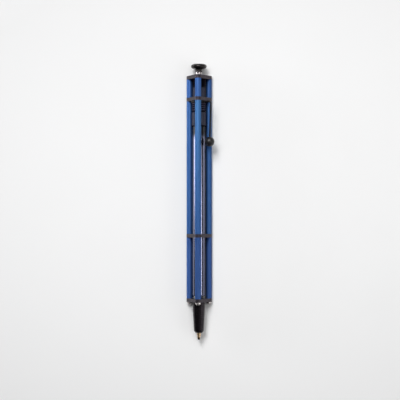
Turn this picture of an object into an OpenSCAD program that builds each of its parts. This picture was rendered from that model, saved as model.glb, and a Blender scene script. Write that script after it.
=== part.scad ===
// Skeleton click ballpoint pen: three tubes clamped between four triangular plates carry a bare metal
// refill, a click mechanism, a nose and a wire clip. The tip is out, as for writing.
// The pen lies on its side along Y, button towards +Y, on the plates' flats at Z = 0.
// The origin is the middle of the flat under the lower plate.

/* [Frame] */
// Distance of each tube's axis from the pen's axis
tube_pitch_r = 5.03; // [5:0.01:5.5]
// Outside diameter of a tube
tube_d = 2.8; // [2.6:0.02:2.84]
// Bore of a tube
tube_bore_d = 1.6; // [1.55:0.05:1.8]
// Diameter of the tie rod inside each tube
tie_rod_d = 1.4; // [1.2:0.05:1.45]
// Length of the tubes between the top plate and the clip plate
upper_bay = 8.4; // [8.2:0.1:9]
// Length of the tubes between the clip plate and the lower plate
middle_bay = 60.5; // [60:0.1:61]
// Length of the tubes between the lower plate and the nose plate
lower_bay = 27.7; // [27.2:0.1:28]
// Thickness of a plate
plate_t = 1.6; // [1.5:0.05:1.7]
// How far a plate's corner stands proud of the tube
plate_lip = 0.02; // [0.02:0.02:0.3]
// Depth of the blind sockets in the top plate that take the tie rods
rod_socket = 1; // [0.6:0.1:1.2]

/* [Cap nuts] */
// Diameter of a cap nut
cap_nut_d = 2.4; // [2.2:0.1:2.6]
// Height of the nut's straight side
cap_nut_side = 0.5; // [0.3:0.1:0.8]
// Height of the nut's dome
cap_nut_dome = 0.8; // [0.6:0.1:1]

/* [Nose] */
// Length of the nose below the nose plate
nose_len = 14.1; // [13.8:0.1:14.4]
// Diameter of the nose at the plate
nose_top_d = 5.9; // [5.6:0.1:6.2]
// Diameter of the nose where its rounded end starts
nose_end_d = 4.5; // [4.4:0.1:4.8]
// Radius of the rounded end
nose_round = 1.6; // [1.4:0.1:1.7]
// Diameter of the spigot that holds the nose in its plate
nose_spigot_d = 4.74; // [4.6:0.02:4.9]
// Bore for the return spring
spring_bore_d = 3.9; // [3.8:0.05:3.95]
// Hole that the tip comes out of
tip_hole_d = 2.5; // [2.45:0.05:2.6]

/* [Refill] */
// Length of the refill from its plug to its writing ball
refill_len = 98; // [97.8:0.1:98.2]
// Diameter of the refill's barrel
refill_d = 5.7; // [5.6:0.02:5.74]
// How far the tip stands out of the nose
tip_out = 3.05; // [2.8:0.05:3.3]
// Length of the plug that closes the barrel
plug_len = 4.5; // [4.3:0.1:5.4]
// Diameter of the plug
plug_d = 5.56; // [5.4:0.02:5.6]
// Length of the slim front part, from the barrel's shoulder to the ball
neck_len = 19.85; // [19.8:0.05:20.2]
// Diameter of the slim front part
neck_d = 2.3; // [2.2:0.05:2.35]
// Length of the conical point
point_len = 4.3; // [4.1:0.1:4.5]
// Diameter of the writing ball
writing_ball_d = 0.8; // [0.7:0.05:0.9]

/* [Click mechanism] */
// Diameter of the housing below the clip plate
housing_d = 6.5; // [6.4:0.05:6.6]
// Length of the housing's wide part
housing_body = 6.6; // [6.4:0.1:6.8]
// Diameter of the housing's sleeve, which passes through the clip plate
sleeve_d = 5.54; // [5.5:0.02:5.56]
// Height of the wide part's lower end above the origin
housing_end = 49.6; // [49.4:0.1:49.8]
// Diameter of the ribbed retaining nut over its ribs
nut_d = 6.4; // [6.2:0.1:6.6]
// Distance from one rib of the nut to the next
nut_rib_pitch = 0.94; // [0.9:0.02:1.1]
// Gap between the housing's wide part and the nut
nut_gap = 0.45; // [0.2:0.05:0.5]
// Travel of the refill from written out to drawn in
retract = 4; // [3.5:0.1:4]
// Turn of the cam rotor over that travel, in degrees
cam_step = 60; // [60:1:62]
// Number of guide ribs in the sleeve, and of lugs on the rotor
cam_lugs = 3; // [3:1:3]
// Width of a guide rib and of a rotor lug
key_w = 0.55; // [0.5:0.01:0.6]
// Number of teeth on the rotor and on the drive crown
cam_teeth = 6; // [6:1:6]
// Height of a cam tooth
tooth_h = 0.5; // [0.4:0.05:0.55]

/* [Push button] */
// Diameter of the button's cap
button_d = 7.1; // [6.8:0.1:7.4]
// Thickness of the cap at its rounded edge
button_t = 2.06; // [2:0.02:2.2]
// Rise of the cap's domed top above its edge
button_dome = 0.2; // [0.1:0.05:0.4]
// Diameter of the boss under the cap
boss_d = 3.2; // [3.1:0.05:3.6]
// Length of the boss
boss_len = 1.6; // [1.4:0.05:1.7]
// Clear height between the top plate and the boss, tip out
boss_clear = 1.5; // [1.4:0.05:1.7]
// Diameter of the metal plunger
plunger_d = 2.9; // [2.8:0.02:2.94]

/* [Clip] */
// Diameter of the clip's wire
wire_d = 0.8; // [0.76:0.02:0.82]
// Distance of the clip's long leg from the pen's axis at its bend
clip_reach = 6.6; // [6.4:0.1:6.8]
// Bend radius of the wire, at its centre line
wire_bend_r = 1.2; // [1:0.1:1.4]
// Diameter of the ball
clip_ball_d = 4.45; // [4.2:0.05:4.6]
// Distance of the ball's centre from the pen's axis
clip_ball_out = 5.84; // [5.8:0.02:6]
// Height of the ball's centre above the origin
clip_ball_at = 42.6; // [42:0.1:43]

/* [Return spring] */
// Diameter of the spring's wire
spring_wire_d = 0.34; // [0.3:0.02:0.36]
// Diameter of the spring at its wire's centre line
spring_mean_d = 3.1; // [3.06:0.02:3.14]
// Number of curls
spring_curls = 11; // [9:1:12]

/* [Hidden] */
$fn = 96;
// Clearance of a seated piece in its socket
seat = 0.02;
// Clearance of a piece that slides or turns
slip = 0.07;
// Length by which a cutting shape runs past the face that it cuts
past = 1;

// Azimuths run from the tube on top towards +X
SIDES = [["front", 0], ["right", 120], ["left", 240]];
clip_azimuth = 60;

tube_r = tube_d / 2;
plate_corner_r = tube_r + plate_lip;
axis_z = tube_pitch_r / 2 + plate_corner_r;

// Stations along the pen, from the middle of the lower plate
clip_plate_mid = middle_bay + plate_t;
top_plate_mid = clip_plate_mid + upper_bay + plate_t;
nose_plate_mid = -(lower_bay + plate_t);
lower_plate_top = plate_t / 2;
clip_plate_under = clip_plate_mid - plate_t / 2;
clip_plate_top = clip_plate_mid + plate_t / 2;
top_plate_under = top_plate_mid - plate_t / 2;
top_plate_top = top_plate_mid + plate_t / 2;
nose_plate_top = nose_plate_mid + plate_t / 2;
nose_plate_under = nose_plate_mid - plate_t / 2;

BAYS = [
    ["upper", clip_plate_top, upper_bay],
    ["middle", lower_plate_top, middle_bay],
    ["lower", nose_plate_top, lower_bay]
];

// Tie rods end in the top plate's sockets and in the cap nuts
rod_end_gap = 0.1;
rod_stand = 0.9;
rod_top = top_plate_under + rod_socket - rod_end_gap;
rod_end = nose_plate_under - rod_stand;

// Nose
nose_end = nose_plate_under - nose_len;
nose_round_at = nose_end + nose_round;
spring_seat_h = 3.3;
spring_seat = nose_end + spring_seat_h;

// Refill
tip_end = nose_end - tip_out;
refill_top = tip_end + refill_len;
barrel_top = refill_top - plug_len;
shoulder = tip_end + neck_len;
barrel_wall = 0.3;
barrel_bore_d = refill_d - 2 * barrel_wall;
plug_spigot = 3;
plug_rim = 0.4;
shoulder_round = 0.6;
neck_seat = 2;
point_rim = 0.07;
point_rim_d = writing_ball_d + 2 * point_rim;
ball_centre = tip_end + writing_ball_d / 2;
// How far the point's rim reaches past the ball's centre to hold it
ball_hold = 0.15;
point_end = ball_centre - ball_hold;

// Click mechanism
sleeve_start = housing_end + housing_body;
cup_gap = 0.15;
cup_d = plug_d + 2 * cup_gap;
cup_depth = 6.2;
guide_bore_d = 4.4;
guide_rib_in_d = 3.5;
guide_low = 60;
guide_end_gap = 0.7;
guide_high = top_plate_under - guide_end_gap;
guide_mid_r = (guide_bore_d + guide_rib_in_d) / 4;
// Rise of the slanted rib ends, which the lugs climb as the rotor turns
cam_rise = key_w / (guide_mid_r * cam_step * PI / 180 / retract);
latch_gap = 0.15;
// Clearance of the rotor from the ribs, the bore, the refill and the crown's teeth
rotor_gap = 0.1;
rotor_stem_d = guide_rib_in_d - 2 * rotor_gap;
lug_d = guide_bore_d - 2 * rotor_gap;
lug_len = 2.2;
rotor_skirt_d = 4;
rotor_skirt_len = 3.55;
rotor_end = refill_top + rotor_gap;
rotor_tooth_base = 61;
crown_tooth_tip = rotor_tooth_base + tooth_h + rotor_gap;
crown_tooth_base = crown_tooth_tip + tooth_h;
crown_gap = 0.06;
crown_d = guide_rib_in_d - 2 * crown_gap;
crown_top = 66;
crown_key_low = 62.6;
crown_key_w = 0.9;
tenon_d = 2;
tenon_floor = 1.1;
tenon_end = crown_tooth_base + tenon_floor;

// Retaining nut, with the clip's ring clamped above it
nut_low = sleeve_start + nut_gap;
clip_ring_at = clip_plate_under - wire_d / 2 - seat;
nut_high = clip_ring_at - wire_d / 2 - seat;
nut_rib_h = 0.25;
nut_core_d = nut_d - 2 * nut_rib_h;
nut_ribs = floor((nut_high - nut_low) / nut_rib_pitch);

// Clip
clip_ring_r = sleeve_d / 2 + seat + wire_d / 2;
clip_pivot_out = tube_pitch_r / 2 + plate_corner_r - seat;
pivot_gap = 0.06;
clip_bend_at = clip_ring_at - wire_bend_r;
// Lean of the long leg towards the pen
clip_lean = atan((clip_reach - clip_ball_out) / (clip_bend_at - clip_ball_at));
clip_leg_len = (clip_bend_at - clip_ball_at) / cos(clip_lean) - wire_bend_r * tan(clip_lean);

// Push button
boss_end = top_plate_top + boss_clear;
cap_under = boss_end + boss_len;
cap_mid = cap_under + button_t / 2;
cap_edge_r = button_t / 2;
cap_fillet = 0.6;
plunger_hold = 0.2;
plunger_top = cap_mid + plunger_hold;

// Return spring, from its seat in the nose to the barrel's shoulder
spring_gap = 0.05;
spring_low = spring_seat + spring_gap;
spring_high = shoulder - spring_gap;
spring_r = spring_mean_d / 2;
spring_wire_r = spring_wire_d / 2;
rings_per_curl = 8;
wire_sides = 6;

// Direction across the pen at an azimuth
function across(azimuth) = [sin(azimuth), -cos(azimuth)];

// Lays a piece that is drawn upright on the pen's axis down along Y
module lay() {
    translate([0, 0, axis_z]) rotate([-90, 0, 0]) children();
}

// Puts a copy of a piece on each tube's axis
module on_each_tube() {
    for (side = SIDES) translate(tube_pitch_r * across(side[1])) children();
}

// A cylinder between two stations
module rod(d, from, to) {
    translate([0, 0, from]) cylinder(d = d, h = to - from);
}

// A bar that stands out of the axis at azimuth 0, cut to a profile across the bar and along the pen
module radial_bar(in_d, out_d, profile, low, high) {
    intersection() {
        difference() {
            rod(out_d, low, high);
            rod(in_d, low - past, high + past);
        }
        rotate([90, 0, 0]) linear_extrude(height = out_d) polygon(profile);
    }
}

// Ring of pointed cam teeth between two diameters, from their base to their tips
module cam_tooth_ring(in_d, out_d, base, tip) {
    tooth_w = PI * out_d / cam_teeth;
    for (i = [0 : cam_teeth - 1]) rotate([0, 0, i * 360 / cam_teeth])
        radial_bar(in_d, out_d, [[-tooth_w / 2, base], [tooth_w / 2, base], [0, tip]],
            min(base, tip), max(base, tip));
}

module frame_tube(bay, side) {
    color("#3c69a2") lay() translate(tube_pitch_r * across(side[1])) difference() {
        rod(tube_d, bay[1], bay[1] + bay[2]);
        rod(tube_bore_d, bay[1] - past, bay[1] + bay[2] + past);
    }
}

// Triangle with round corners, concentric with the tubes
module plate_outline() {
    polygon([
        for (side = SIDES, turn = [-60, 60])
            tube_pitch_r * across(side[1]) + plate_corner_r * across(side[1] + turn)
    ]);
    on_each_tube() circle(r = plate_corner_r);
}

module plate(mid, hole_d) {
    color("#4d4a4e") lay() difference() {
        translate([0, 0, mid - plate_t / 2]) linear_extrude(height = plate_t) plate_outline();
        rod(hole_d, mid - plate_t, mid + plate_t);
        children();
    }
}

// Holes that the tie rods pass through
module rod_holes(from, to) {
    on_each_tube() rod(tie_rod_d + 2 * slip, from, to);
}

module top_plate() {
    plate(top_plate_mid, plunger_d + 2 * slip)
        rod_holes(top_plate_under - past, top_plate_under + rod_socket);
}

module clip_plate() {
    plate(clip_plate_mid, sleeve_d + 2 * seat)
        rod_holes(clip_plate_under - past, clip_plate_top + past);
}

module lower_plate() {
    plate(0, refill_d + 2 * slip) rod_holes(-plate_t, plate_t);
}

module nose_plate() {
    plate(nose_plate_mid, nose_spigot_d + 2 * seat)
        rod_holes(nose_plate_under - past, nose_plate_top + past);
}

module tie_rods() {
    color("#a8a6a4") lay() on_each_tube() rod(tie_rod_d, rod_end, rod_top);
}

module cap_nuts() {
    dome_r = (pow(cap_nut_d / 2, 2) + pow(cap_nut_dome, 2)) / (2 * cap_nut_dome);
    dome_centre = nose_plate_under - cap_nut_side - cap_nut_dome + dome_r;
    color("#4a4344") lay() on_each_tube() difference() {
        intersection() {
            rod(cap_nut_d, nose_plate_under - cap_nut_side - cap_nut_dome, nose_plate_under);
            translate([0, 0, dome_centre]) sphere(r = dome_r);
        }
        rod(tie_rod_d + 2 * seat, rod_end - seat, nose_plate_under + past);
    }
}

module mechanism_housing() {
    rib_bite = 0.2;
    rib_profile = [
        [-key_w / 2, guide_low], [key_w / 2, guide_low + cam_rise],
        [key_w / 2, guide_high], [-key_w / 2, guide_high]
    ];
    color("#3d3b43") lay() {
        difference() {
            union() {
                rod(housing_d, housing_end, sleeve_start);
                rod(sleeve_d, sleeve_start - past, top_plate_under);
            }
            rod(cup_d, housing_end - past, housing_end + cup_depth);
            rod(guide_bore_d, housing_end, top_plate_under + past);
        }
        for (i = [0 : cam_lugs - 1]) rotate([0, 0, i * 360 / cam_lugs])
            radial_bar(guide_rib_in_d, guide_bore_d + rib_bite, rib_profile, guide_low, guide_high);
    }
}

// Nut with a stack of rounded ribs
module retaining_nut() {
    rib_r = nut_rib_pitch / 2;
    stack = nut_ribs * nut_rib_pitch;
    first = (nut_low + nut_high - stack) / 2;
    color("#302e39") lay() rotate_extrude() difference() {
        union() {
            translate([0, nut_low]) square([nut_core_d / 2, nut_high - nut_low]);
            for (i = [0 : nut_ribs - 1])
                translate([nut_d / 2 - rib_r, first + (i + 0.5) * nut_rib_pitch])
                    circle(r = rib_r - slip / 2);
        }
        translate([0, nut_low - past]) square([sleeve_d / 2 + seat, nut_high - nut_low + 2 * past]);
    }
}

// Ring of the clip's wire round the sleeve, with the start of its arm
module clip_ring() {
    color("#2c2b2f") lay() {
        translate([0, 0, clip_ring_at]) {
            rotate_extrude() translate([clip_ring_r, 0]) circle(d = wire_d);
            rotate([0, 0, clip_azimuth]) rotate([90, 0, 0]) translate([0, 0, clip_ring_r])
                cylinder(d = wire_d, h = clip_pivot_out - pivot_gap / 2 - clip_ring_r);
        }
    }
}

// Arm of the clip: out past the plate's edge, round the bend and down to the ball
module clip_arm() {
    color("#2c2b2f") lay() rotate([0, 0, clip_azimuth - 90]) {
        translate([clip_pivot_out + pivot_gap / 2, 0, clip_ring_at]) rotate([0, 90, 0])
            cylinder(d = wire_d, h = clip_reach - wire_bend_r - clip_pivot_out - pivot_gap / 2);
        translate([clip_reach - wire_bend_r, 0, clip_bend_at]) {
            rotate([90, 0, 0]) rotate([0, 0, -clip_lean]) rotate_extrude(angle = 90 + clip_lean)
                translate([wire_bend_r, 0]) circle(d = wire_d);
            rotate([0, clip_lean, 0]) translate([wire_bend_r, 0, -clip_leg_len])
                cylinder(d = wire_d, h = clip_leg_len);
        }
    }
}

module clip_ball() {
    color("#1c1b1e") lay() rotate([0, 0, clip_azimuth - 90]) difference() {
        translate([clip_ball_out, 0, clip_ball_at]) sphere(d = clip_ball_d);
        translate([clip_reach - wire_bend_r, 0, clip_bend_at]) rotate([0, clip_lean, 0])
            translate([wire_bend_r, 0, -clip_leg_len - seat])
                cylinder(d = wire_d + 2 * seat, h = clip_ball_d);
    }
}

// Tapered nose with a spigot in its plate, a seat for the spring and a rounded end
module nose_cone() {
    color("#1b191c") lay() difference() {
        union() {
            rotate_extrude() polygon([
                [0, nose_plate_top], [nose_spigot_d / 2, nose_plate_top],
                [nose_spigot_d / 2, nose_plate_under], [nose_top_d / 2, nose_plate_under],
                [nose_end_d / 2, nose_round_at], [0, nose_round_at]
            ]);
            rotate_extrude() intersection() {
                translate([nose_end_d / 2 - nose_round, nose_round_at]) circle(r = nose_round);
                translate([0, nose_end]) square([nose_end_d / 2, nose_round + past]);
            }
        }
        rod(spring_bore_d, spring_seat, nose_plate_top + past);
        rod(tip_hole_d, nose_end - past, spring_seat + past);
    }
}

// Path of the spring's wire: a helix between two short straight ends
function spring_path(
    rise = spring_high - spring_low - 2 * spring_wire_d,
    steps = spring_curls * rings_per_curl
) = concat(
    [[spring_r, 0, spring_low]],
    [
        for (i = [0 : steps]) let (turn = 360 * i / rings_per_curl)
            [spring_r * cos(turn), spring_r * sin(turn), spring_low + spring_wire_d + rise * i / steps]
    ],
    [[spring_r, 0, spring_high]]
);

// Ring of points square to the wire at one point of its path
function wire_ring(path, i) =
    let (
        last = len(path) - 1,
        way = path[min(i + 1, last)] - path[max(i - 1, 0)],
        along = way / norm(way),
        out = [path[i].x, path[i].y, 0] / spring_r,
        up = cross(along, out)
    )
    [
        for (k = [0 : wire_sides - 1]) let (a = 360 * k / wire_sides)
            path[i] + spring_wire_r * (cos(a) * out + sin(a) * up / norm(up))
    ];

// Triangles between the rings, with a fan on each end
function tube_faces(rings) = concat(
    [for (k = [1 : wire_sides - 2]) [0, k + 1, k]],
    [
        for (i = [0 : rings - 2], k = [0 : wire_sides - 1], half = [0, 1])
            let (a = i * wire_sides + k, b = i * wire_sides + (k + 1) % wire_sides)
            half == 0 ? [a, b, b + wire_sides] : [a, b + wire_sides, a + wire_sides]
    ],
    [for (k = [1 : wire_sides - 2]) let (base = (rings - 1) * wire_sides) [base, base + k, base + k + 1]]
);

module return_spring() {
    path = spring_path();
    points = [for (i = [0 : len(path) - 1]) each wire_ring(path, i)];
    gap = min([
        for (i = [0 : len(path) - 1], j = [i + rings_per_curl / 2 : 1 : len(path) - 1])
            norm(path[i] - path[j])
    ]) - spring_wire_d;
    echo(least_gap_in_return_spring = gap);
    color("#b8b6b2") lay() polyhedron(points = points, faces = tube_faces(len(path)));
}

// Mushroom cap with a full round edge, a low dome and a filleted boss
module push_button() {
    cap_flat_r = button_d / 2 - cap_edge_r;
    dome_r = (pow(cap_flat_r, 2) + pow(button_dome, 2)) / (2 * button_dome);
    color("#2a282b") lay() rotate_extrude() difference() {
        union() {
            translate([0, cap_under]) square([cap_flat_r, button_t]);
            translate([cap_flat_r, cap_mid]) circle(r = cap_edge_r);
            intersection() {
                translate([0, cap_under + button_t + button_dome - dome_r]) circle(r = dome_r);
                translate([0, cap_mid]) square([cap_flat_r, button_t]);
            }
            translate([0, boss_end]) square([boss_d / 2, boss_len + past]);
            difference() {
                translate([0, cap_under - cap_fillet]) square([boss_d / 2 + cap_fillet, cap_fillet + past]);
                translate([boss_d / 2 + cap_fillet, cap_under - cap_fillet]) circle(r = cap_fillet);
            }
        }
        translate([0, boss_end - past])
            square([plunger_d / 2 + seat, plunger_top + seat - boss_end + past]);
        translate([-button_d, boss_end - past]) square([button_d, button_d]);
    }
}

module plunger() {
    color("#c9c4c3") lay() {
        rod(plunger_d, crown_top + seat, plunger_top);
        rod(tenon_d, tenon_end, crown_top + past);
    }
}

// Sleeve on the plunger's tenon, with keys that run between the guide ribs and teeth that drive the rotor
module drive_crown() {
    key_profile = [
        [-crown_key_w / 2, crown_key_low], [crown_key_w / 2, crown_key_low],
        [crown_key_w / 2, crown_top], [-crown_key_w / 2, crown_top]
    ];
    color("#8a8780") lay() {
        difference() {
            union() {
                rod(crown_d, crown_tooth_base, crown_top);
                for (i = [0 : cam_lugs - 1]) rotate([0, 0, (i + 0.5) * 360 / cam_lugs])
                    radial_bar(crown_d - 2 * latch_gap, lug_d, key_profile, crown_key_low, crown_top);
            }
            rod(tenon_d + 2 * seat, tenon_end - seat, crown_top + past);
        }
        cam_tooth_ring(tenon_d, crown_d - slip, crown_tooth_base + slip, crown_tooth_tip);
    }
}

// Rotor that latches on the guide ribs and pushes the refill
module cam_rotor() {
    lug_top = guide_low - latch_gap;
    lug_profile = [
        [-key_w / 2, lug_top - lug_len], [key_w / 2, lug_top - lug_len],
        [key_w / 2, lug_top + cam_rise], [-key_w / 2, lug_top]
    ];
    color("#9a968c") lay() {
        rod(rotor_skirt_d, rotor_end, rotor_end + rotor_skirt_len);
        rod(rotor_stem_d, rotor_end + past, rotor_tooth_base);
        for (i = [0 : cam_lugs - 1]) rotate([0, 0, i * 360 / cam_lugs])
            radial_bar(rotor_stem_d - 2 * latch_gap, lug_d, lug_profile,
                lug_top - lug_len, lug_top + cam_rise);
        cam_tooth_ring(tenon_d, rotor_stem_d - slip, rotor_tooth_base - slip, rotor_tooth_base + tooth_h);
    }
}

// Drawn metal barrel with a rounded shoulder
module refill_barrel() {
    color("#8e8d9c") lay() rotate_extrude() difference() {
        union() {
            translate([0, shoulder + shoulder_round])
                square([refill_d / 2, barrel_top - shoulder - shoulder_round]);
            translate([0, shoulder]) square([refill_d / 2 - shoulder_round, barrel_top - shoulder]);
            translate([refill_d / 2 - shoulder_round, shoulder + shoulder_round])
                circle(r = shoulder_round);
        }
        translate([0, shoulder + neck_seat]) square([barrel_bore_d / 2, refill_len]);
        translate([0, shoulder - past]) square([neck_d / 2 + seat, refill_len]);
    }
}

// Moulded end plug with a chamfered rim, pressed into the barrel
module refill_plug() {
    plug_r = plug_d / 2;
    color("#232126") lay() rotate_extrude() polygon([
        [0, barrel_top - plug_spigot], [barrel_bore_d / 2 - seat, barrel_top - plug_spigot],
        [barrel_bore_d / 2 - seat, barrel_top], [plug_r, barrel_top],
        [plug_r, refill_top - plug_rim], [plug_r - plug_rim, refill_top], [0, refill_top]
    ]);
}

// Brass tube that ends in a turned point with a socket for the ball
module refill_tip() {
    color("#a2917e") lay() difference() {
        rotate_extrude() polygon([
            [0, shoulder + neck_seat], [neck_d / 2, shoulder + neck_seat],
            [neck_d / 2, tip_end + point_len], [point_rim_d / 2, point_end], [0, point_end]
        ]);
        translate([0, 0, ball_centre]) sphere(d = writing_ball_d + slip);
    }
}

module writing_ball() {
    color("#55504a") lay() translate([0, 0, ball_centre]) sphere(d = writing_ball_d);
}

for (bay = BAYS, side = SIDES)
    frame_tube(bay, side);
top_plate();
clip_plate();
lower_plate();
nose_plate();
tie_rods();
cap_nuts();
mechanism_housing();
retaining_nut();
clip_ring();
nose_cone();
return_spring();
push_button();
plunger();
drive_crown();
cam_rotor();
refill_barrel();
refill_plug();
refill_tip();
writing_ball();
clip_arm();
clip_ball();
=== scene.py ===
import math
import bpy
from mathutils import Matrix, Vector


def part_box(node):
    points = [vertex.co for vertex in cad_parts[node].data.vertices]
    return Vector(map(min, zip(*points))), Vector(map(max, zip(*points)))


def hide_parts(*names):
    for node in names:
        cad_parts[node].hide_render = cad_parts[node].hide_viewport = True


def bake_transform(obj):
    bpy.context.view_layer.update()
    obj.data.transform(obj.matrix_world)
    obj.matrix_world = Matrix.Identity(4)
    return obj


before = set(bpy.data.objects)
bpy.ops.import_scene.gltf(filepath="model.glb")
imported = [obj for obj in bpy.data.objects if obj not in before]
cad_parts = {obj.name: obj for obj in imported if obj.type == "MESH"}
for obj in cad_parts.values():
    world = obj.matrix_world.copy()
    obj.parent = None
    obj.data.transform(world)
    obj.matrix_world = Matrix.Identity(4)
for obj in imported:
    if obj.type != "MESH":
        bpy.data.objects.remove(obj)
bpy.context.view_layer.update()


# Camera. It looks almost straight down on the pen from about 0.64 m, with the button at the top of
# the picture, and stands a few degrees to the clip's side.
MM = 0.001
scene = bpy.context.scene
nose_low, nose_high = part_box("nose_cone")
axis_z = (nose_low.z + nose_high.z) / 2
aim = Vector((0.52 * MM, 16.25 * MM, axis_z))
camera_distance = 0.6364
# How far the sight leans from straight down, in degrees, across the pen and along it
lean_across, lean_along = 4.0, 1.04
sight = Vector((
    -math.tan(math.radians(lean_across)), math.tan(math.radians(lean_along)), -1)).normalized()
right = sight.cross(Vector((0, 1, 0))).normalized()
up = right.cross(sight)
camera = bpy.data.objects.new("camera", bpy.data.cameras.new("camera"))
scene.collection.objects.link(camera)
camera.data.sensor_width = 36
camera.data.lens = 126
camera.data.clip_start = 0.05
camera.data.clip_end = 20
camera.data.dof.use_dof = False
facing = Matrix((right, up, -sight)).transposed().to_4x4()
camera.matrix_world = Matrix.Translation(aim - sight * camera_distance) @ facing
scene.camera = camera
scene.view_settings.view_transform = "Standard"


# Table. A wide sheet of matt white paper, on which the pen lies on its side.
# It is a hair lower than the pen's flats, so that no two faces share a plane.
def linear(code):
    """A colour given as sRGB hex, as linear red, green, blue and alpha."""
    parts = [int(code[i:i + 2], 16) / 255 for i in (1, 3, 5)]
    return tuple(
        c / 12.92 if c <= 0.04045 else ((c + 0.055) / 1.055) ** 2.4 for c in parts) + (1.0,)


def add(tree, kind, inputs=None, **settings):
    """Adds a node to a tree with its settings. An input is a value, or the socket that feeds it."""
    node = tree.nodes.new(kind)
    for key, value in settings.items():
        setattr(node, key, value)
    for key, value in (inputs or {}).items():
        if isinstance(value, bpy.types.NodeSocket):
            tree.links.new(value, node.inputs[key])
        else:
            node.inputs[key].default_value = value
    return node


def new_material(name):
    """An empty material, its tree and its output node."""
    material = bpy.data.materials.new(name)
    material.use_nodes = True
    material.node_tree.nodes.clear()
    return material, material.node_tree, add(material.node_tree, "ShaderNodeOutputMaterial")


table_half = 8.0
table_top = -0.02 * MM
corners = [(-1, -1), (1, -1), (1, 1), (-1, 1)]
table_mesh = bpy.data.meshes.new("table")
table_mesh.from_pydata(
    [(x * table_half, y * table_half, table_top) for x, y in corners], [], [(0, 1, 2, 3)])
table = bpy.data.objects.new("table", table_mesh)
scene.collection.objects.link(table)

# Matt paper: no gloss, a white that the pulp clouds very faintly, and a painted falloff of light
# that greys it away from the pen
cloud_size = 25 * MM
grey_x, grey_y = 174 * MM, 122 * MM
grey_centre_x, grey_centre_y = 36 * MM, aim.y - 5 * MM
paper, tree, out = new_material("matt_white_paper")
on_sheet = add(tree, "ShaderNodeTexCoord").outputs["Object"]
cloud = add(tree, "ShaderNodeTexNoise", {
    "Vector": on_sheet, "Scale": 1 / cloud_size, "Detail": 4.0})
white = add(tree, "ShaderNodeMix", {
    "Factor": cloud.outputs["Fac"], "A": linear("#f6f6f6"), "B": linear("#f9f9f9")},
    data_type="RGBA")
light_pool_spot = add(tree, "ShaderNodeMapping", {
    "Vector": on_sheet, "Scale": (1 / grey_x, 1 / grey_y, 0),
    "Location": (-grey_centre_x / grey_x, -grey_centre_y / grey_y, 0)})
painted_light_falloff = add(tree, "ShaderNodeVectorMath", {
    0: light_pool_spot.outputs["Vector"], 1: light_pool_spot.outputs["Vector"]}, operation="DOT_PRODUCT")
# Painted falloff of light: the sheet turns greyer away from a spot beside the pen
sheet = add(tree, "ShaderNodeMix", {
    "Factor": painted_light_falloff.outputs["Value"], "A": white.outputs[2], "B": linear("#e9e9e9")},
    data_type="RGBA")
matt = add(tree, "ShaderNodeBsdfDiffuse", {"Color": sheet.outputs[2]})

# Far from the pen, where the lamps hardly reach, the sheet is seen as an evenly pale backdrop
backdrop_start, backdrop_full = 0.14, 0.8
ray = add(tree, "ShaderNodeLightPath").outputs
seen = add(tree, "ShaderNodeMath", {
    0: ray["Is Camera Ray"], 1: ray["Is Glossy Ray"]}, operation="MAXIMUM")
seen = add(tree, "ShaderNodeMath", {
    0: seen.outputs["Value"], 1: ray["Is Transmission Ray"]}, operation="MAXIMUM")
away = add(tree, "ShaderNodeVectorMath", {0: on_sheet, 1: aim}, operation="DISTANCE")
far = add(tree, "ShaderNodeMapRange", {
    "Value": away.outputs["Value"], "From Min": backdrop_start, "From Max": backdrop_full},
    interpolation_type="SMOOTHSTEP")
share = add(tree, "ShaderNodeMath", {
    0: far.outputs["Result"], 1: seen.outputs["Value"]}, operation="MULTIPLY")
pale = add(tree, "ShaderNodeEmission", {"Color": linear("#ededed"), "Strength": 1.0})
surface = add(tree, "ShaderNodeMixShader", {
    0: share.outputs["Value"], 1: matt.outputs["BSDF"], 2: pale.outputs["Emission"]})
tree.links.new(surface.outputs["Shader"], out.inputs["Surface"])
table_mesh.materials.append(paper)


# Studio light. The main soft box stands beyond the button, with weaker ones round it, a low cool
# window to the left and two cards to the right. All face the pen from the same distance.
studio_r = 1.2


def soft_box(name, elevation, azimuth, width, height, power, colour="#ffffff"):
    """A rectangular light, in degrees, metres and watts. The azimuth is 0 at +X and 90 at +Y."""
    light = bpy.data.lights.new(name, "AREA")
    light.shape = "RECTANGLE"
    light.size, light.size_y = width, height
    light.energy = power
    light.color = linear(colour)[:3]
    e, a = math.radians(elevation), math.radians(azimuth)
    way = Vector((math.cos(e) * math.cos(a), math.cos(e) * math.sin(a), math.sin(e)))
    stand = aim + way * studio_r
    turn = (aim - stand).to_track_quat("-Z", "Y").to_matrix().to_4x4()
    lamp = bpy.data.objects.new(name, light)
    lamp.matrix_world = Matrix.Translation(stand) @ turn
    lamp.visible_camera = False
    scene.collection.objects.link(lamp)


soft_box("key_box", elevation=53, azimuth=106, width=0.30, height=0.60, power=8.8)
soft_box("wrap_box", elevation=60, azimuth=135, width=0.30, height=0.30, power=2.6)
soft_box("back_box", elevation=52, azimuth=72, width=0.30, height=0.30, power=1.3)
soft_box("side_box", elevation=52, azimuth=180, width=0.30, height=0.30, power=0.4)
soft_box("high_box", elevation=68, azimuth=30, width=0.30, height=0.30, power=0.65)
soft_box("left_window", elevation=8, azimuth=164.8, width=0.62, height=0.26, power=4.2,
         colour="#f2f4fa")
soft_box("right_card", elevation=36, azimuth=355.2, width=0.24, height=0.21, power=0.88)
soft_box("lower_card", elevation=14, azimuth=340, width=0.40, height=0.40, power=1.1)

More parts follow.
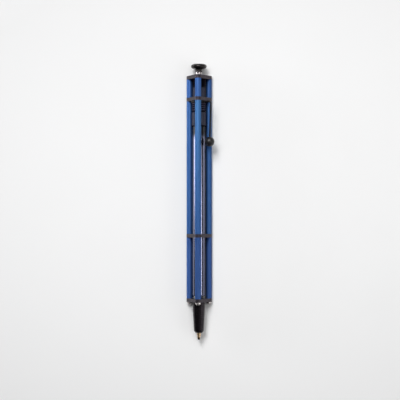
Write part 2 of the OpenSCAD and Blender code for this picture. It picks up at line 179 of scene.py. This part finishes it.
# The room is dark to the left, and its upper right is a broad white wall
room_dark, room_bright = 0.02, 0.34
wall_side, wall_low, wall_high = 0.25, 0.1, 0.6
room = bpy.data.worlds.new("studio")
scene.world = room
room.use_nodes = True
room.node_tree.nodes.clear()
tree = room.node_tree
way = add(tree, "ShaderNodeSeparateXYZ", {
    "Vector": add(tree, "ShaderNodeTexCoord").outputs["Generated"]})
side = add(tree, "ShaderNodeMapRange", {
    "Value": way.outputs["X"], "From Min": -wall_side, "From Max": wall_side},
    interpolation_type="SMOOTHSTEP")
rise = add(tree, "ShaderNodeMapRange", {
    "Value": way.outputs["Z"], "From Min": wall_low, "From Max": wall_high},
    interpolation_type="SMOOTHSTEP")
wall = add(tree, "ShaderNodeMath", {
    0: side.outputs["Result"], 1: rise.outputs["Result"]}, operation="MULTIPLY")
level = add(tree, "ShaderNodeMapRange", {
    "Value": wall.outputs["Value"], "To Min": room_dark, "To Max": room_bright})
sky = add(tree, "ShaderNodeBackground", {
    "Color": linear("#ffffff"), "Strength": level.outputs["Result"]})
add(tree, "ShaderNodeOutputWorld", {"Surface": sky.outputs["Background"]})


# Frame tubes. Nine lengths of thin drawn aluminium tube, anodised blue and clamped between the
# plates. The drawing leaves faint lengthwise lines, and each tube is given its own blue as painted
# light and shade.
def pattern(tree, cell, detail):
    """Noise from 0 to 1 whose cells have these sizes in millimetres along X, Y and Z."""
    cells = add(tree, "ShaderNodeMapping", {
        "Vector": add(tree, "ShaderNodeTexCoord").outputs["Object"],
        "Scale": [1 / (size * MM) for size in cell]})
    noise = add(tree, "ShaderNodeTexNoise", {
        "Vector": cells.outputs["Vector"], "Scale": 1.0, "Detail": detail})
    return noise.outputs["Fac"]


def along(tree, start, end):
    """A smooth step from 0 to 1 between two places along the pen."""
    place = add(tree, "ShaderNodeSeparateXYZ", {
        "Vector": add(tree, "ShaderNodeTexCoord").outputs["Object"]})
    step = add(tree, "ShaderNodeMapRange", {
        "Value": place.outputs["Y"], "From Min": start, "From Max": end},
        interpolation_type="SMOOTHSTEP")
    return step.outputs["Result"]


def finish(name, colours, metallic, roughness, grain, tint, bump,
           edge="#ffffff", shine=0.5, dark=None, deep="#0b0a0d"):
    """A surface whose colour drifts between two hex values with the tint, and whose roughness and
    relief follow the grain. These two patterns and the bump are in millimetres, and the edge colour
    tints grazing reflections. Dark, if given, makes a socket: 0 leaves the colour as it is, and 1
    turns it to deep."""
    material, tree, out = new_material(name)
    relief = pattern(tree, grain, detail=2.0)
    drift = pattern(tree, tint, detail=3.0)
    # Nearly all of the noise lies between these two values
    spread = {"From Min": 0.3, "From Max": 0.7}
    share = add(tree, "ShaderNodeMapRange", {"Value": drift, **spread})
    colour = add(tree, "ShaderNodeMix", {
        "Factor": share.outputs["Result"], "A": linear(colours[0]), "B": linear(colours[1])},
        data_type="RGBA")
    if dark:
        colour = add(tree, "ShaderNodeMix", {
            "Factor": dark(tree), "A": colour.outputs[2], "B": linear(deep)}, data_type="RGBA")
    gloss = add(tree, "ShaderNodeMapRange", {
        "Value": relief, **spread, "To Min": roughness[0], "To Max": roughness[1]})
    height = add(tree, "ShaderNodeBump", {
        "Height": relief, "Strength": 1.0, "Distance": bump * MM})
    shader = add(tree, "ShaderNodeBsdfPrincipled", {
        "Base Color": colour.outputs[2], "Metallic": metallic,
        "Roughness": gloss.outputs["Result"], "Specular IOR Level": shine,
        "Specular Tint": linear(edge), "Normal": height.outputs["Normal"]})
    tree.links.new(shader.outputs["BSDF"], out.inputs["Surface"])
    return material


def dress(material, *names):
    """Gives CAD nodes a material in place of their plain one."""
    for name in names:
        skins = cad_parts[name].data.materials
        skins.clear()
        skins.append(material)


# Painted light and shade: a lighter or darker copy of the one blue for each tube, darker on the
# shaded right
tube_blues_painted_light = {
    "upper_tube_front": ("#4064a2", "#466ba8"),
    "upper_tube_right": ("#395a92", "#3f6098"),
    "upper_tube_left": ("#446aab", "#4a71b2"),
    "middle_tube_front": ("#4876ad", "#4e7cb3"),
    "middle_tube_right": ("#3a5f97", "#40669d"),
    "middle_tube_left": ("#3f66a2", "#456da8"),
    "lower_tube_front": ("#3a5994", "#40609a"),
    "lower_tube_right": ("#395792", "#3f5e98"),
    "lower_tube_left": ("#4162a3", "#476aa9"),
}
# The middle front tube carries a painted highlight that fades along its length
fading_tube, painted_shade_blue = "middle_tube_front", "#3e65a0"
fade_start, fade_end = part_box("clip_plate")[0].y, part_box("lower_plate")[1].y


def painted_highlight_fade(tree):
    """Painted highlight: palest under the clip plate, and fading deeper along the tube to the lower
    plate.
    """
    return along(tree, fade_start, fade_end)


# Satin anodising: a soft metallic sheen along each tube, deep blue where it turns away. The drawing
# lines are really some hundredths of a millimetre wide, and drawn coarser so that they show
for tube, blues in tube_blues_painted_light.items():
    fading = {"dark": painted_highlight_fade, "deep": painted_shade_blue} if tube == fading_tube else {}
    blue_anodised = finish(
        "blue_anodised_" + tube, blues, metallic=0.72, roughness=(0.40, 0.48),
        grain=(0.15, 9, 0.15), tint=(1.5, 14, 1.5), bump=0.001, edge="#16203a", **fading)
    dress(blue_anodised, tube)


# Plates. Four triangles with round corners, milled from aluminium sheet, blasted and anodised dark
# grey. They hold the tubes apart and carry the mechanism, the refill and the nose.
# Blasted metal: an even dull grey. Its grit, drawn coarser than it is, softens what it reflects
grey_anodised = finish(
    "dark_grey_anodised_aluminium", ("#3f3a40", "#484349"), metallic=1.0, roughness=(0.30, 0.42),
    grain=(0.12, 0.12, 0.12), tint=(1.2, 1.2, 1.2), bump=0.002)
dress(grey_anodised, "top_plate", "clip_plate", "lower_plate", "nose_plate")


# Tie rods and cap nuts. Drawn steel rods run through the tubes from the top plate, and three domed
# nuts in polished black nickel pull the frame tight under the nose plate.
# Drawn steel: bright grey with fine lengthwise lines
drawn_steel = finish(
    "drawn_steel", ("#a3a19f", "#b0aeac"), metallic=1.0, roughness=(0.25, 0.38),
    grain=(0.1, 5, 0.1), tint=(0.8, 6, 0.8), bump=0.001)
dress(drawn_steel, "tie_rods")
# Polished plating: small sharp reflections, with a bright spot on each dome
black_nickel = finish(
    "polished_black_nickel", ("#c0bab8", "#cac4c2"), metallic=1.0, roughness=(0.12, 0.2),
    grain=(0.3, 0.3, 0.3), tint=(0.8, 0.8, 0.8), bump=0.0005)
dress(black_nickel, "cap_nuts")


# Mechanism housing and its retaining nut. A sleeve turned from aluminium and anodised gunmetal
# hangs in the clip plate, where a ribbed black nut holds it. Its top end under the top plate, its
# neck and its lower rim are painted black as shade.
nut_low, nut_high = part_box("retaining_nut")
nut_ribs = 4
nut_rib_pitch = (nut_high.y - nut_low.y) / nut_ribs
# Where the cosine across a rib passes these two values, its painted groove shade begins and is full
groove_shade_start, groove_shade_full = -0.8, 0.2
# Lengths of the painted shade at the top end, in the neck and round the lower rim
top_black_h, neck_h, rim_h = 4.1 * MM, 0.5 * MM, 0.6 * MM
top_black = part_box("top_plate")[0].y - top_black_h
rim_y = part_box("mechanism_housing")[0].y + rim_h
soft_edge = 0.15 * MM


def housing_painted_shade(tree):
    """Painted shade: black at the top end under the top plate, in the neck under the nut and round
    the lower rim.
    """
    neck_start = along(tree, nut_low.y - neck_h - soft_edge, nut_low.y - neck_h)
    neck_end = along(tree, nut_low.y, nut_low.y + soft_edge)
    neck = add(tree, "ShaderNodeMath", {0: neck_start, 1: neck_end}, operation="SUBTRACT")
    top = along(tree, top_black, top_black + 2 * soft_edge)
    rim = along(tree, rim_y, rim_y - soft_edge)
    ends = add(tree, "ShaderNodeMath", {0: top, 1: rim}, operation="MAXIMUM")
    black = add(tree, "ShaderNodeMath", {
        0: neck.outputs["Value"], 1: ends.outputs["Value"]}, operation="MAXIMUM")
    return black.outputs["Value"]


def nut_groove_shade(tree):
    """Painted shade in the grooves between the ribs."""
    place = add(tree, "ShaderNodeSeparateXYZ", {
        "Vector": add(tree, "ShaderNodeTexCoord").outputs["Object"]})
    turn = add(tree, "ShaderNodeMapRange", {
        "Value": place.outputs["Y"], "From Min": nut_low.y, "From Max": nut_low.y + nut_rib_pitch,
        "To Min": 0, "To Max": 2 * math.pi}, clamp=False)
    wave = add(tree, "ShaderNodeMath", {0: turn.outputs["Result"]}, operation="COSINE")
    depth = add(tree, "ShaderNodeMapRange", {
        "Value": wave.outputs["Value"], "From Min": groove_shade_start, "From Max": groove_shade_full})
    return depth.outputs["Result"]


# Satin anodising over turning marks, which run round the part: a dim slate grey with one broad soft
# highlight
# Its dark mask paints shade onto the housing
gunmetal = finish(
    "gunmetal_anodised_aluminium", ("#414350", "#484a57"), metallic=1.0, roughness=(0.48, 0.58),
    grain=(1.5, 0.1, 1.5), tint=(1.5, 1.5, 1.5), bump=0.001, edge="#c8c5ce", dark=housing_painted_shade)
dress(gunmetal, "mechanism_housing")
# The same in black, with painted shade in the grooves, so that only the crests of the ribs look lit
black_nut = finish(
    "black_anodised_aluminium", ("#4d4c5e", "#545366"), metallic=1.0, roughness=(0.42, 0.52),
    grain=(1.5, 0.1, 1.5), tint=(1.5, 1.5, 1.5), bump=0.001, edge="#c8c5ce", dark=nut_groove_shade)
dress(black_nut, "retaining_nut")


# Clip. One length of black coated spring wire, wound once round the sleeve under the clip plate,
# bent outwards between two tubes and down along the refill, and pushed into a glossy black ball.
def radial(azimuth, out, place):
    """The point at an azimuth from the top tube towards +X, at a distance from the pen's axis and a
    place along it."""
    return Vector((out * math.sin(azimuth), place, axis_z + out * math.cos(azimuth)))


def arc(first, last, steps):
    """Angles from first to last, both given in degrees, as radians."""
    return [math.radians(first + (last - first) * i / steps) for i in range(steps + 1)]


wire_tree = bpy.data.node_groups.new("round_wire", "GeometryNodeTree")
wire_inputs = {"Path": "Geometry", "Diameter": "Float", "Sides": "Int", "Coat": "Material"}
for name, kind in wire_inputs.items():
    wire_tree.interface.new_socket(name, in_out="INPUT", socket_type="NodeSocket" + kind)
wire_tree.interface.new_socket("Wire", in_out="OUTPUT", socket_type="NodeSocketGeometry")
given = add(wire_tree, "NodeGroupInput").outputs
half = add(wire_tree, "ShaderNodeMath", {0: given["Diameter"], 1: 0.5}, operation="MULTIPLY")
section = add(wire_tree, "GeometryNodeCurvePrimitiveCircle", {
    "Resolution": given["Sides"], "Radius": half.outputs["Value"]})
path = add(wire_tree, "GeometryNodeMeshToCurve", {"Mesh": given["Path"]})
swept = add(wire_tree, "GeometryNodeCurveToMesh", {
    "Curve": path.outputs["Curve"], "Profile Curve": section.outputs["Curve"], "Fill Caps": True})
smooth = add(wire_tree, "GeometryNodeSetShadeSmooth", {"Geometry": swept.outputs["Mesh"]})
whole = add(wire_tree, "GeometryNodeRealizeInstances", {"Geometry": smooth.outputs["Geometry"]})
coated = add(wire_tree, "GeometryNodeSetMaterial", {
    "Geometry": whole.outputs["Geometry"], "Material": given["Coat"]})
add(wire_tree, "NodeGroupOutput", {"Wire": coated.outputs["Geometry"]})


def bent_wire(name, points, diameter, sides, coat):
    """A round wire along a line of points, as a plain mesh."""
    line = bpy.data.meshes.new(name + "_path")
    line.from_pydata(points, [(i, i + 1) for i in range(len(points) - 1)], [])
    wire = bpy.data.objects.new(name, line)
    scene.collection.objects.link(wire)
    sweep = wire.modifiers.new("sweep", "NODES")
    sweep.node_group = wire_tree
    sizes = {"Diameter": diameter, "Sides": sides, "Coat": coat}
    for socket in wire_tree.interface.items_tree:
        if socket.name in sizes:
            sweep[socket.identifier] = sizes[socket.name]
    evaluated = wire.evaluated_get(bpy.context.evaluated_depsgraph_get())
    solid = bpy.data.meshes.new_from_object(evaluated)
    wire.modifiers.clear()
    wire.data = solid
    return wire


# Baked coating: nearly black, with a thin line of light along the wire
black_coat = finish(
    "black_coated_wire", ("#151417", "#1c1b1e"), metallic=0.0, roughness=(0.25, 0.36),
    grain=(0.2, 0.6, 0.2), tint=(1, 1, 1), bump=0.001, shine=0.25)
clip_side = 60
clip_azimuth = math.radians(clip_side)
clip_wire_sides = 24
ring_steps, out_steps, down_steps = 72, 12, 16
ring_low, ring_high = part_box("clip_ring")
wire_d = ring_high.y - ring_low.y
ring_y = (ring_low.y + ring_high.y) / 2
ring_r = -ring_low.x - wire_d / 2
# The wire's free end lies this many degrees past the leg, clear of the bend that turns outwards
ring_gap = 24
out_bend_r = 0.7 * MM
out_turn = math.degrees(math.asin(out_bend_r / (ring_r + out_bend_r)))
clip_points = [
    radial(a, ring_r, ring_y)
    for a in arc(clip_side + ring_gap, clip_side + 360 - out_turn, ring_steps)]
bend_centre = radial(clip_azimuth - math.radians(out_turn), ring_r + out_bend_r, ring_y)
clip_points += [
    bend_centre + radial(a, out_bend_r, 0) - Vector((0, 0, axis_z))
    for a in arc(clip_side + 180 - out_turn, clip_side + 90, out_steps)[1:]]
# Down the outside, the leg leans towards the refill and ends inside the ball
ball_low, ball_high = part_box("clip_ball")
ball_centre = (ball_low + ball_high) / 2
ball_out = ball_centre.x / math.sin(clip_azimuth)
reach = (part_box("clip_arm")[1].x - wire_d / 2) / math.sin(clip_azimuth)
down_bend_r = 1.2 * MM
bend_out, bend_y = reach - down_bend_r, ring_y - down_bend_r
lean = math.degrees(math.atan((reach - ball_out) / (bend_y - ball_centre.y)))
clip_points += [
    radial(clip_azimuth, bend_out + down_bend_r * math.cos(a), bend_y + down_bend_r * math.sin(a))
    for a in arc(90, -lean, down_steps)]
clip_points.append(radial(clip_azimuth, ball_out, ball_centre.y))
clip_wire = bent_wire("clip_wire", clip_points, wire_d, clip_wire_sides, black_coat)
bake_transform(clip_wire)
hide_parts("clip_ring", "clip_arm")

# Moulded and tumbled plastic: black with one soft highlight
black_gloss = finish(
    "glossy_black_plastic", ("#151417", "#1a191c"), metallic=0.0, roughness=(0.33, 0.43),
    grain=(0.5, 0.5, 0.5), tint=(1.5, 1.5, 1.5), bump=0.001)
dress(black_gloss, "clip_ball")


# Nose. A tapered tube turned from aluminium with a rounded end, anodised black. It is held in the
# nose plate, guides the refill's point and houses the return spring.
# Fine satin black: very dark, with a grey band of reflected table along each side
black_satin = finish(
    "satin_black_anodised_nose", ("#030203", "#050405"), metallic=0.0, roughness=(0.22, 0.30),
    grain=(1.5, 0.12, 1.5), tint=(1.5, 1.5, 1.5), bump=0.001, edge="#f6e4f4", shine=0.34)
dress(black_satin, "nose_cone")


# Return spring. Bright drawn wire coiled between a step in the nose and the refill's shoulder, with
# one closed turn at each end.
# Drawn spring wire: a glint on every turn
spring_wire = finish(
    "bright_spring_wire", ("#b4b2ae", "#bebcb8"), metallic=1.0, roughness=(0.22, 0.32),
    grain=(0.3, 0.3, 0.3), tint=(1, 1, 1), bump=0.0005)
spring_d = 0.34 * MM
spring_turns = 13
closed_turns = 1
turn_steps, spring_wire_sides = 24, 12
spring_low, spring_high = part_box("return_spring")
coil_r = (spring_high.x - spring_low.x - spring_d) / 2
coil_len = spring_high.y - spring_low.y - spring_d
open_pitch = (coil_len - 2 * closed_turns * spring_d) / (spring_turns - 2 * closed_turns)


def coil_height(turn):
    """Height of the wire's middle after a number of turns: a wire's width for each closed turn and
    the open pitch for each of the others."""
    opened = min(max(turn - closed_turns, 0), spring_turns - 2 * closed_turns)
    return (turn - opened) * spring_d + opened * open_pitch


coil_foot = spring_low.y + spring_d / 2
spring_points = [
    radial(2 * math.pi * i / turn_steps, coil_r, coil_foot + coil_height(i / turn_steps))
    for i in range(spring_turns * turn_steps + 1)]
spring = bent_wire("coil_spring", spring_points, spring_d, spring_wire_sides, spring_wire)
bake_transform(spring)
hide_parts("return_spring")


# Push button and plunger. A mushroom cap turned from aluminium and anodised black, on a polished
# steel stem that runs through the top plate to the click mechanism.
# Satin black like the nose, with a greyer shine on the cap's round top
black_cap = finish(
    "satin_black_anodised_cap", ("#070606", "#0b0a0a"), metallic=0.0, roughness=(0.25, 0.34),
    grain=(1.5, 0.12, 1.5), tint=(1.5, 1.5, 1.5), bump=0.001, edge="#fbefee", shine=0.46)
dress(black_cap, "push_button")
# Polished steel: it mirrors the pale table beside the dark cap and plate
polished_steel = finish(
    "polished_steel", ("#c6bec0", "#cec7c8"), metallic=1.0, roughness=(0.14, 0.24),
    grain=(1.5, 0.1, 1.5), tint=(1, 1, 1), bump=0.0005)
dress(polished_steel, "plunger")


# Click mechanism. The toothed drive crown on the plunger pushes the cam rotor below it round, and
# the rotor latches inside the sleeve. Both are moulded in acetal.
# Moulded acetal: a waxy, slightly warm grey
grey_acetal = finish(
    "grey_acetal", ("#938f86", "#9c988e"), metallic=0.0, roughness=(0.42, 0.55),
    grain=(0.3, 0.3, 0.3), tint=(1, 1, 1), bump=0.002)
dress(grey_acetal, "drive_crown", "cam_rotor")


# Refill. A drawn steel barrel, closed by a moulded black plug and drawn in to a shoulder. A turned
# brass point holds the ground carbide ball, and its end is coloured darker.
barrel_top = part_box("refill_barrel")[1].y
collar_start, collar_full = barrel_top - 3 * MM, barrel_top + 1 * MM
shade_fade_start, shade_fade_full, shade_fade_depth = 35 * MM, -28 * MM, 0.3
tip_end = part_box("refill_tip")[0].y
tip_dark_start, tip_dark_full = tip_end + 1.3 * MM, tip_end + 0.5 * MM


def barrel_painted_shade(tree):
    """Painted shade: darker towards the point, and dark where the plug's collar shades it."""
    collar = along(tree, collar_start, collar_full)
    painted_dimming = along(tree, shade_fade_start, shade_fade_full)
    part = add(tree, "ShaderNodeMath", {0: painted_dimming, 1: shade_fade_depth}, operation="MULTIPLY")
    darkest = add(tree, "ShaderNodeMath", {
        0: collar, 1: part.outputs["Value"]}, operation="MAXIMUM")
    return darkest.outputs["Value"]


def tip_dark(tree):
    """Darker at the very end."""
    return along(tree, tip_dark_start, tip_dark_full)


# Bright drawn steel: long mirrored lines of light, slightly broken by the drawing lines, which are
# drawn coarser than they are so that they show
# The barrel's mask paints shade under the plug's collar and darkens it towards the point
bright_steel = finish(
    "bright_drawn_steel", ("#797b91", "#81839a"), metallic=1.0, roughness=(0.13, 0.19),
    grain=(0.12, 8, 0.12), tint=(1, 10, 1), bump=0.0005, dark=barrel_painted_shade)
dress(bright_steel, "refill_barrel")
# Moulded plastic: black with a narrow highlight that carries on the barrel's
black_plug = finish(
    "moulded_black_plug", ("#0a090b", "#0e0d10"), metallic=0.0, roughness=(0.16, 0.24),
    grain=(0.3, 0.3, 0.3), tint=(1, 1, 1), bump=0.0005, shine=0.34)
dress(black_plug, "refill_plug")
# Turned brass: warm and bright, with fine rings round it
turned_brass = finish(
    "turned_brass", ("#dcbc94", "#e3c6a2"), metallic=1.0, roughness=(0.22, 0.34),
    grain=(1, 0.08, 1), tint=(1, 1, 1), bump=0.001, dark=tip_dark, deep="#4a3724")
dress(turned_brass, "refill_tip")
# Ground carbide: a dark metal dot
ground_carbide = finish(
    "ground_carbide", ("#2a221c", "#322a24"), metallic=1.0, roughness=(0.2, 0.3),
    grain=(0.1, 0.1, 0.1), tint=(0.5, 0.5, 0.5), bump=0.0003)
dress(ground_carbide, "writing_ball")
